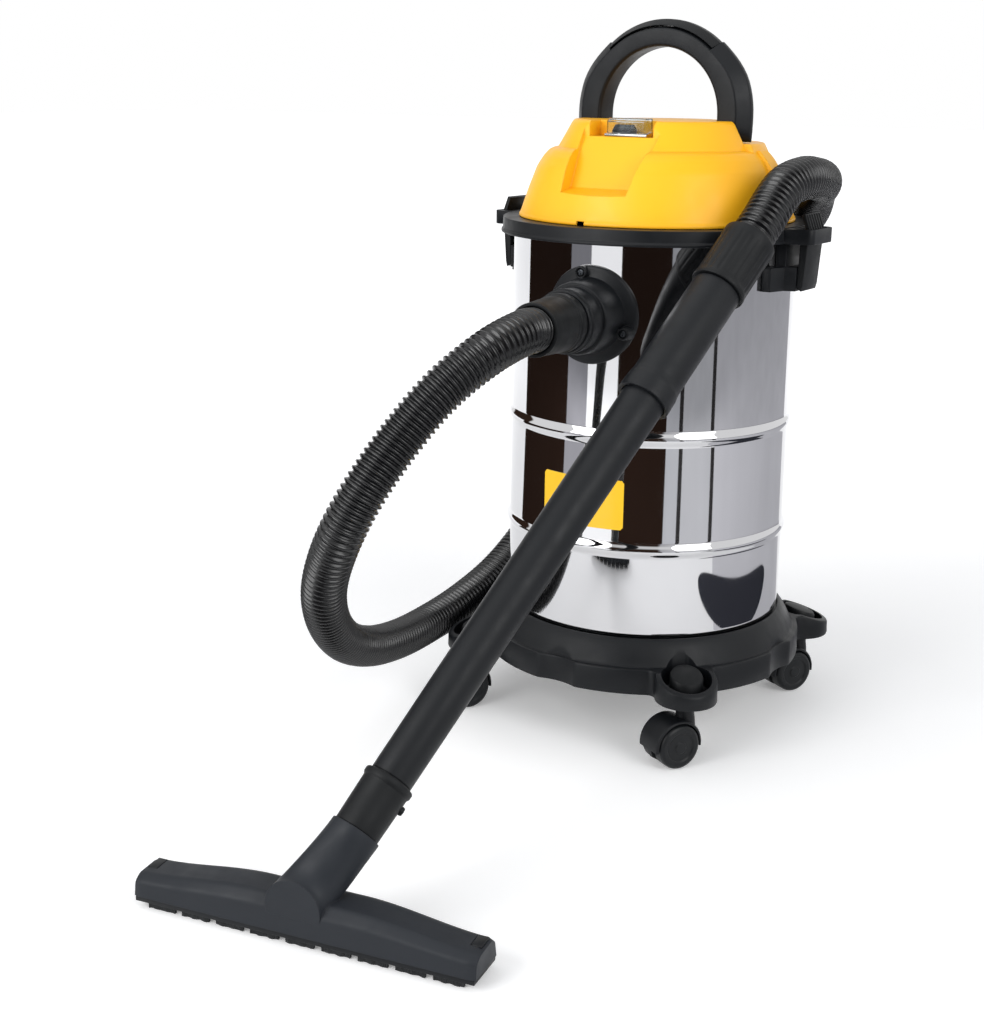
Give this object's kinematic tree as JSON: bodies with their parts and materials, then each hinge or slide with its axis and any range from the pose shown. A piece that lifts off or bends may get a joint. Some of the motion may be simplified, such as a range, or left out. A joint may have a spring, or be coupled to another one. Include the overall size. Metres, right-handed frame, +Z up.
{
  "type": "shop vacuum",
  "caption": "Upright wet and dry shop vacuum: polished steel drum on a caster dolly, clip-on yellow motor head with folding handle, ribbed hose, wand and floor nozzle.",
  "frame": {"origin": "on the floor under the centre of the object's footprint, measured without the hose and its cuffs", "axes": "+Z up, -Y towards the front where the hose inlet and the floor nozzle are, +X to the machine's left-hand latch seen from behind, the side the wand leans on"},
  "size_m": [0.4193, 0.908, 0.752],
  "materials": {
    "tank_steel": "mirror polished",
    "fastener_steel": "satin",
    "label": "coated",
    "dome_yellow": "satin moulded",
    "black_plastic": "matte moulded",
    "dark_trim": "matte grained",
    "wheel_plastic": "satin",
    "hose_plastic": "glossy ribbed",
    "nozzle_grey": "matte moulded",
    "bristle": "bristle",
    "gasket_foam": "foam",
    "switch_plate_silver": "satin",
    "rocker_dark": "satin",
    "clear_cover": "clear soft plastic",
    "inner_grey": "matte",
    "fan_aluminium": "cast",
    "winding_copper": "lacquered windings",
    "float_white": "satin",
    "filter_paper": "pleated"
  },
  "bodies": {
    "tank_and_dolly": {"tank_shell": "tank_steel", "tank_label": "label", "inlet_screw_1": "fastener_steel", "inlet_screw_2": "fastener_steel", "inlet_screw_3": "fastener_steel", "inlet_flange": "black_plastic", "inlet_deflector": "black_plastic", "latch_catch_right": "black_plastic", "latch_catch_left": "black_plastic", "dolly_base": "black_plastic", "caster_cap_1": "dark_trim", "caster_cap_2": "dark_trim", "caster_cap_3": "dark_trim", "caster_cap_4": "dark_trim", "hose_inlet_cuff": "dark_trim", "suction_hose": "hose_plastic", "hose_wand_cuff": "dark_trim", "wand_upper_tube": "black_plastic", "wand_lower_tube": "black_plastic", "nozzle_coupling": "dark_trim", "nozzle_body": "nozzle_grey", "nozzle_clip_left": "black_plastic", "nozzle_clip_right": "black_plastic", "nozzle_sole": "black_plastic", "brush_front": "bristle", "brush_rear": "bristle"},
    "motor_head": {"head_base": "black_plastic", "head_gasket": "gasket_foam", "motor_dome": "dome_yellow", "exhaust_grille": "black_plastic", "cord_gland": "dark_trim", "handle_pin_right": "fastener_steel", "handle_pin_left": "fastener_steel", "latch_pin_right": "fastener_steel", "latch_pin_left": "fastener_steel", "switch_plate": "switch_plate_silver", "switch_cover": "clear_cover", "fan_housing": "inner_grey", "motor_can": "fastener_steel", "float_cage": "inner_grey", "filter_sleeve": "filter_paper", "filter_clamp": "black_plastic"},
    "handle": {"carry_handle": "black_plastic", "handle_grip": "dark_trim"},
    "latch_right": {"latch_lever_right": "dark_trim"},
    "latch_left": {"latch_lever_left": "dark_trim"},
    "rocker": {"switch_rocker": "rocker_dark"},
    "rotor": {"motor_rotor": "winding_copper", "impeller": "fan_aluminium"},
    "float": {"float_ball": "float_white"},
    "lock_button": {"wand_button": "black_plastic"},
    "caster_1": {"caster_hood_1": "black_plastic"},
    "wheel_1": {"caster_wheel_1": "wheel_plastic"},
    "caster_2": {"caster_hood_2": "black_plastic"},
    "wheel_2": {"caster_wheel_2": "wheel_plastic"},
    "caster_3": {"caster_hood_3": "black_plastic"},
    "wheel_3": {"caster_wheel_3": "wheel_plastic"},
    "caster_4": {"caster_hood_4": "black_plastic"},
    "wheel_4": {"caster_wheel_4": "wheel_plastic"}
  },
  "joints": [
    {"name": "head_lift", "type": "slide", "parent": "tank_and_dolly", "child": "motor_head", "axis": [0, 0, 1], "range_m": [0, 0.16], "deforming": ["suction_hose"]},
    {"name": "handle_fold", "type": "hinge", "parent": "motor_head", "child": "handle", "pos_m": [-0.00386, 0.26217, 0.645], "axis": [-1, 0, 0], "range_deg": [0, 90]},
    {"name": "latch_right_swing", "type": "hinge", "parent": "motor_head", "child": "latch_right", "pos_m": [0.17714, 0.25417, 0.541], "axis": [0, -1, 0], "range_deg": [0, 15], "stiffness_Nm_per_rad": 0.5, "springref_deg": -5.73},
    {"name": "latch_left_swing", "type": "hinge", "parent": "motor_head", "child": "latch_left", "pos_m": [-0.18486, 0.25417, 0.541], "axis": [0, 1, 0], "range_deg": [0, 15], "stiffness_Nm_per_rad": 0.5, "springref_deg": -5.73},
    {"name": "switch_rock", "type": "hinge", "parent": "motor_head", "child": "rocker", "pos_m": [-0.00386, 0.17917, 0.6393], "axis": [-1, 0, 0], "range_deg": [0, 12]},
    {"name": "rotor_spin", "type": "hinge", "parent": "motor_head", "child": "rotor", "pos_m": [-0.00386, 0.25417, 0.6], "axis": [0, 0, 1], "continuous": true},
    {"name": "float_rise", "type": "slide", "parent": "motor_head", "child": "float", "axis": [0, 0, 1], "range_m": [0, 0.078]},
    {"name": "lock_button_press", "type": "slide", "parent": "tank_and_dolly", "child": "lock_button", "axis": [-0.7735, -0.3371, 0.5368], "range_m": [0, 0.0014], "stiffness_N_per_m": 400, "springref_m": -0.001},
    {"name": "caster_1_swivel", "type": "hinge", "parent": "tank_and_dolly", "child": "caster_1", "pos_m": [0.12681, 0.11404, 0.062], "axis": [0, 0, 1], "continuous": true},
    {"name": "caster_1_roll", "type": "hinge", "parent": "caster_1", "child": "wheel_1", "pos_m": [0.11883, 0.09903, 0.024], "axis": [0.8829, -0.4695, 0], "continuous": true},
    {"name": "caster_2_swivel", "type": "hinge", "parent": "tank_and_dolly", "child": "caster_2", "pos_m": [0.13626, 0.38484, 0.062], "axis": [0, 0, 1], "continuous": true},
    {"name": "caster_2_roll", "type": "hinge", "parent": "caster_2", "child": "wheel_2", "pos_m": [0.12828, 0.36983, 0.024], "axis": [0.8829, -0.4695, 0], "continuous": true},
    {"name": "caster_3_swivel", "type": "hinge", "parent": "tank_and_dolly", "child": "caster_3", "pos_m": [-0.13453, 0.3943, 0.062], "axis": [0, 0, 1], "continuous": true},
    {"name": "caster_3_roll", "type": "hinge", "parent": "caster_3", "child": "wheel_3", "pos_m": [-0.14252, 0.37929, 0.024], "axis": [0.8829, -0.4695, 0], "continuous": true},
    {"name": "caster_4_swivel", "type": "hinge", "parent": "tank_and_dolly", "child": "caster_4", "pos_m": [-0.14399, 0.1235, 0.062], "axis": [0, 0, 1], "continuous": true},
    {"name": "caster_4_roll", "type": "hinge", "parent": "caster_4", "child": "wheel_4", "pos_m": [-0.15197, 0.10849, 0.024], "axis": [0.8829, -0.4695, 0], "continuous": true}
  ]
}
